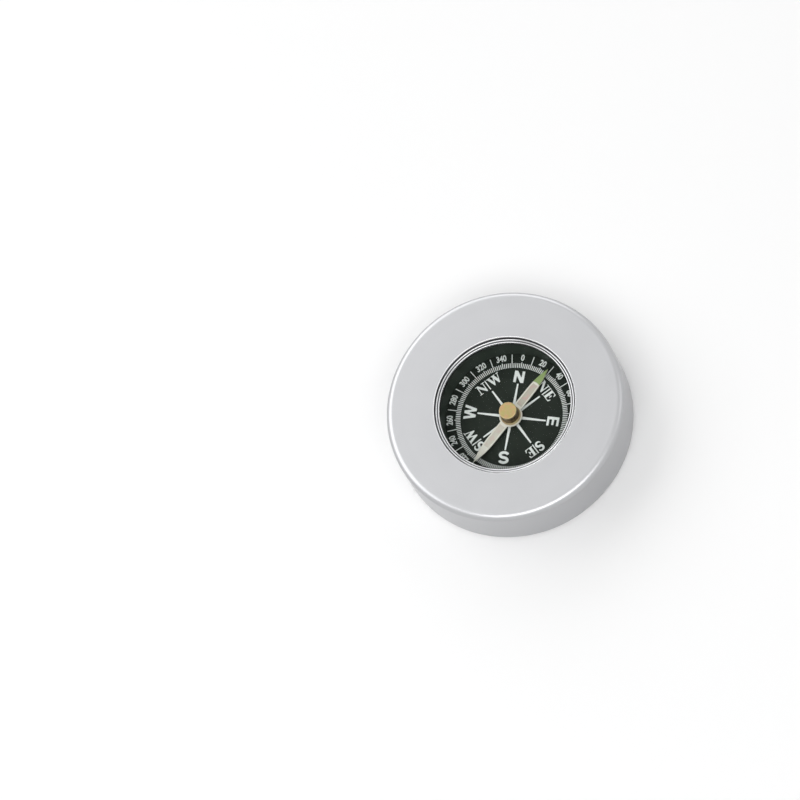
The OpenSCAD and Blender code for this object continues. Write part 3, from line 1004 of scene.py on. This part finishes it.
class COMPASS_OT_case(bpy.types.Operator):
    """Makes the turned case and the rubber disc in its back"""
    bl_idname = "compass.turn_case"
    bl_label = "Turn the case"

    def execute(self, context):
        case = context.scene.compass_case
        made = turned_piece("turned_case", satin_aluminium(case), "case", "case_metal", "case_body",
                            case.segments, case_profile(case), steps=10)
        x, y, z = places(made.data).T
        mouth = BEZEL.outer + case.pocket_gap + case.mouth_chamfer + case.edge_break
        lowest = CASE.high - case.mouth_chamfer - case.edge_break
        store(made.data, "bright_cut", (np.hypot(x, y) < mouth) & (z > lowest))
        disc = [
            (0, DISC.low, 0),
            (DISC.outer, DISC.low, case.disc_round),
            (DISC.outer, DISC.high, case.edge_break),
            (0, DISC.high, 0),
        ]
        turned_piece("rubber_disc", black_rubber(case), "case", "disc_rubber", "base_disc", case.segments,
                     disc)
        return {"FINISHED"}


class COMPASS_OT_capsule(bpy.types.Operator):
    """Makes the bezel, the window, the gasket and the black wall, and finishes the cup behind them"""
    bl_idname = "compass.close_capsule"
    bl_label = "Close the capsule"

    def execute(self, context):
        capsule = context.scene.compass_capsule
        segments = context.scene.compass_case.segments
        edge = 0.03 * MM
        rings = (
            ("polished_bezel", polished_metal(capsule), "bezel_chrome", "bezel_ring", bezel_profile(capsule)),
            ("wall_lining", glossy_black(capsule), "wall_black", "wall_ring", ring_profile(WALL, edge)),
            ("window_gasket", flat_rubber(), "gasket", "crystal_gasket", ring_profile(GASKET, edge)),
        )
        for name, finish, slot, node, corners in rings:
            turned_piece(name, finish, "case", slot, node, segments, corners, closed=True, steps=8,
                         hold=0.015 * MM)
        cut = capsule.window_chamfer
        corners = [
            (0, WINDOW.low, 0),
            (WINDOW.outer - cut, WINDOW.low, edge),
            (WINDOW.outer, WINDOW.low + cut, edge),
            (WINDOW.outer, WINDOW.high - cut, edge),
            (WINDOW.outer - cut, WINDOW.high, edge),
            (0, WINDOW.high, 0),
        ]
        turned_piece("clear_window", clear_window(capsule), "case", "window", "crystal", segments, corners,
                     steps=3)
        dress("capsule_cup", drawn_steel())
        dress("capsule_adhesive", tape_adhesive())
        return {"FINISHED"}


class COMPASS_OT_dial(bpy.types.Operator):
    """Finishes the dial and prints its numbers and letters"""
    bl_idname = "compass.print_dial"
    bl_label = "Print the dial"

    def execute(self, context):
        dial = context.scene.compass_dial
        ink = printing_ink(dial)
        dress("dial_plate", dial_lacquer(dial))
        dress("dial_scale", ink)
        dress("dial_rose", ink)
        for printed in (degree_numbers, main_letters, pair_letters):
            points, faces = printed(dial, DIAL.high, DIAL.high + dial.ink)
            mesh = make_mesh(printed.__name__, points, faces, smooth=False)
            piece(printed.__name__, mesh, ink, "case", "dial_ink")
        return {"FINISHED"}


class COMPASS_OT_needle(bpy.types.Operator):
    """Makes the stamped needle and the paint on its north tip"""
    bl_idname = "compass.stamp_needle"
    bl_label = "Stamp the needle"

    def execute(self, context):
        needle = context.scene.compass_needle
        blade = make_mesh("needle_blade", *needle_mesh(needle))
        fade = 2 * MM
        store(blade, "north", np.clip(places(blade)[:, 1] / fade, 0, 1))
        tip = make_mesh("green_tip", *paint_mesh(needle))
        for mesh in (blade, tip):
            mesh.transform(Matrix.Rotation(-needle.bearing, 4, "Z"))
        piece("needle_blade", blade, cream_lacquer(needle), "needle", "needle_steel", "needle_plate")
        piece("green_tip", tip, luminous_paint(needle), "needle", "tip_green", "tip_paint")
        return {"FINISHED"}


class COMPASS_OT_hub(bpy.types.Operator):
    """Makes the brass hub and finishes the jewel, the pin and its post"""
    bl_idname = "compass.turn_hub"
    bl_label = "Turn the hub"

    def execute(self, context):
        needle = context.scene.compass_needle
        brass = turned_brass(needle)
        turned_piece("turned_hub", brass, "needle", "hub_brass", "needle_hub", needle.hub_segments,
                     hub_profile(needle), hold=0.01 * MM)
        dress("jewel", polished_stone())
        dress("pivot_pin", ground_steel())
        dress("pivot_boss", brass)
        return {"FINISHED"}


# Each lamp: its name and its power's, bearing and height in degrees, distance, width and height in metres
LAMPS = (
    ("key", 275, 42, 1.2, 1.5, 1.0),
    ("back", 335, 22, 1.5, 1.5, 0.9),
    ("fill", 60, 30, 1.5, 0.6, 0.6),
    ("top", 138, 88, 0.5, 0.3, 0.3),
    ("front", 157, 58, 1.0, 1.1, 0.5),
    ("under", 0, -90, 0.03, 0.038, 0.038),
)


class COMPASS_OT_stage(bpy.types.Operator):
    """Lays the floor and sets the lamps, the sky and the camera"""
    bl_idname = "compass.set_stage"
    bl_label = "Set the stage"

    def execute(self, context):
        stage = context.scene.compass_stage
        segments = 96
        edge = np.array([[stage.floor_radius, DISC.low - stage.floor_drop]])
        points, _ = lathe(edge, False, segments)
        mesh = bpy.data.meshes.new("floor")
        mesh.from_pydata(points.tolist(), [], [list(range(segments))])
        floor = bpy.data.objects.new("floor", mesh)
        mesh.materials.append(floor_finish(stage).material)
        context.scene.collection.objects.link(floor)
        set_sky(context.scene, stage)
        for name, bearing, height, distance, wide, high in LAMPS:
            lamp(name, direction(bearing, height) * distance, wide, high, getattr(stage, name))
        set_camera(context.scene, stage)
        context.scene.view_settings.view_transform = "Standard"
        return {"FINISHED"}


def direction(bearing, height):
    """Unit vector towards a bearing, clockwise from the north, and a height over the horizon, in degrees."""
    bearing, height = math.radians(bearing), math.radians(height)
    level = math.cos(height)
    return Vector((math.sin(bearing) * level, math.cos(bearing) * level, math.sin(height)))


def lamp(name, place, wide, high, power):
    """Soft rectangular lamp at a place, which shines on the compass with its long side level."""
    data = bpy.data.lights.new(name, "AREA")
    data.shape = "RECTANGLE"
    data.size = wide
    data.size_y = high
    data.energy = power
    made = bpy.data.objects.new(name, data)
    made.matrix_world = Matrix.Translation(place) @ (-place).to_track_quat("-Z", "Y").to_matrix().to_4x4()
    bpy.context.scene.collection.objects.link(made)


def set_sky(scene, stage):
    """Even light from above the horizon, and plain white where the sky itself is seen."""
    world = bpy.data.worlds.new("studio")
    scene.world = world
    world.use_nodes = True
    sky = Board(world.node_tree)
    towards = sky.node("ShaderNodeTexCoord").outputs["Generated"]
    height = sky.wire("ShaderNodeSeparateXYZ", values={0: towards}, output=2)
    below_horizon = -0.02
    seen = sky.seen()
    ground = world.node_tree.nodes["Background"]
    sky.feed(ground.inputs["Color"], (1.0, 1.0, 1.0))
    sky.feed(ground.inputs["Strength"], seen + (1 - seen) * height.between(below_horizon, 0.0) * stage.sky)


def set_camera(scene, stage):
    """Camera at the photograph's angle, with its middle on a point of the face's plane."""
    a, e = stage.azimuth, stage.elevation
    back = Vector((math.sin(a) * math.cos(e), -math.cos(a) * math.cos(e), math.sin(e)))
    level_up = (Vector((0, 0, 1)) - back * back.z).normalized()
    level_right = level_up.cross(back)
    up = level_up * math.cos(stage.roll) + level_right * math.sin(stage.roll)
    right = up.cross(back)
    place = Vector((stage.aim_east, stage.aim_north, CASE.high)) + back * stage.distance
    data = bpy.data.cameras.new("camera")
    data.lens = stage.lens
    data.sensor_width = 36.0
    data.clip_end = 100.0
    camera = bpy.data.objects.new("camera", data)
    turn = Matrix((right, up, back)).transposed().to_4x4()
    camera.matrix_world = Matrix.Translation(place) @ turn
    scene.collection.objects.link(camera)
    scene.camera = camera


class COMPASS_PT_panel(bpy.types.Panel):
    """Lists the settings and the steps of the compass"""
    bl_idname = "COMPASS_PT_panel"
    bl_label = "Pocket compass"
    bl_space_type = "VIEW_3D"
    bl_region_type = "UI"
    bl_category = "Compass"

    def draw(self, context):
        for name, _, operators in STEPS:
            box = self.layout.box()
            settings = getattr(context.scene, name)
            for identifier in type(settings).__annotations__:
                box.prop(settings, identifier)
            for operator in operators:
                box.operator(operator.bl_idname)


STEPS = (
    ("compass_case", CaseSettings, (COMPASS_OT_case,)),
    ("compass_capsule", CapsuleSettings, (COMPASS_OT_capsule,)),
    ("compass_dial", DialSettings, (COMPASS_OT_dial,)),
    ("compass_needle", NeedleSettings, (COMPASS_OT_needle, COMPASS_OT_hub)),
    ("compass_stage", StageSettings, (COMPASS_OT_stage,)),
)


def register():
    """Registers the settings, the operators and the panel."""
    for name, settings, operators in STEPS:
        bpy.utils.register_class(settings)
        setattr(bpy.types.Scene, name, PointerProperty(type=settings))
        for operator in operators:
            bpy.utils.register_class(operator)
    bpy.utils.register_class(COMPASS_PT_panel)


def unregister():
    """Takes them away again."""
    bpy.utils.unregister_class(COMPASS_PT_panel)
    for name, settings, operators in reversed(STEPS):
        for operator in operators:
            bpy.utils.unregister_class(operator)
        delattr(bpy.types.Scene, name)
        bpy.utils.unregister_class(settings)


def main():
    """Makes the compass and its stage."""
    register()
    bpy.ops.compass.turn_case()
    bpy.ops.compass.close_capsule()
    bpy.ops.compass.print_dial()
    bpy.ops.compass.stamp_needle()
    bpy.ops.compass.turn_hub()
    bpy.ops.compass.set_stage()
    bpy.context.view_layer.update()


if __name__ == "__main__":
    main()
